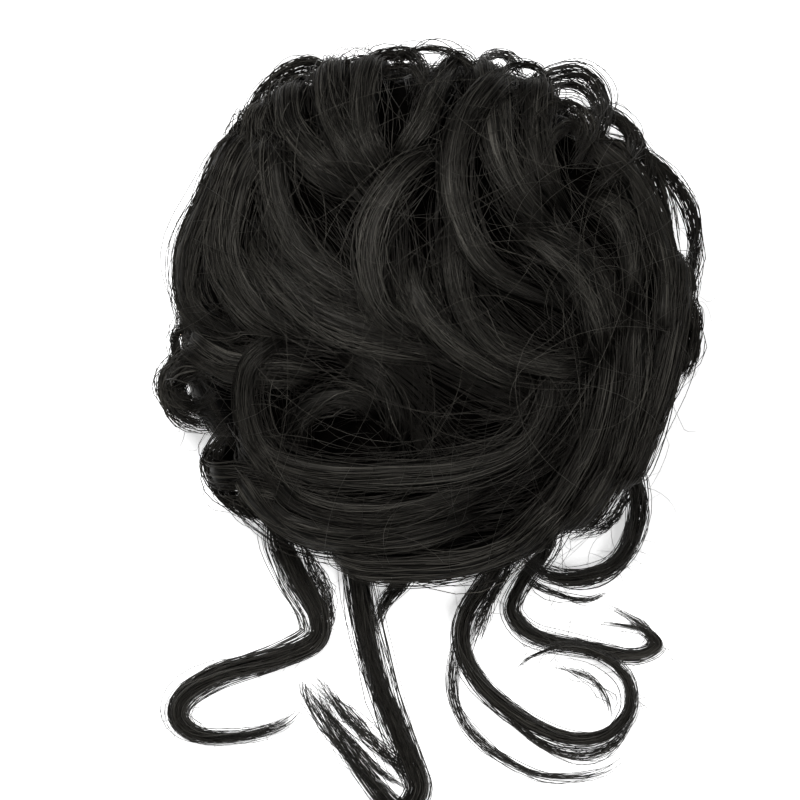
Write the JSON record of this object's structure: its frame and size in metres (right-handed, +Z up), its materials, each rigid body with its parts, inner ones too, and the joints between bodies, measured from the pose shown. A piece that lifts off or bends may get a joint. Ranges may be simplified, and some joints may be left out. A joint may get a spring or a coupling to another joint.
{
  "type": "scrunchie bun hairpiece",
  "caption": "Messy bun hairpiece of curled black synthetic locks sewn round an elastic band, hollow at the back, with loose curled tendrils.",
  "frame": {"origin": "bottom centre of the whole hairpiece's box, on the surface that it lies on", "axes": "+Z up, away from the elastic band and the wearer's head, and +Y towards the crown, away from the tendrils"},
  "size_m": [0.1504, 0.2172, 0.0592],
  "materials": {
    "hair": "satin",
    "elastic": "matte"
  },
  "bodies": {
    "root": {"elastic_band": "elastic", "hair_bun": "hair", "tendril_left": "hair", "tendril_middle": "hair", "tendril_right": "hair", "tendril_far_right": "hair", "side_loop": "hair"}
  },
  "joints": []
}
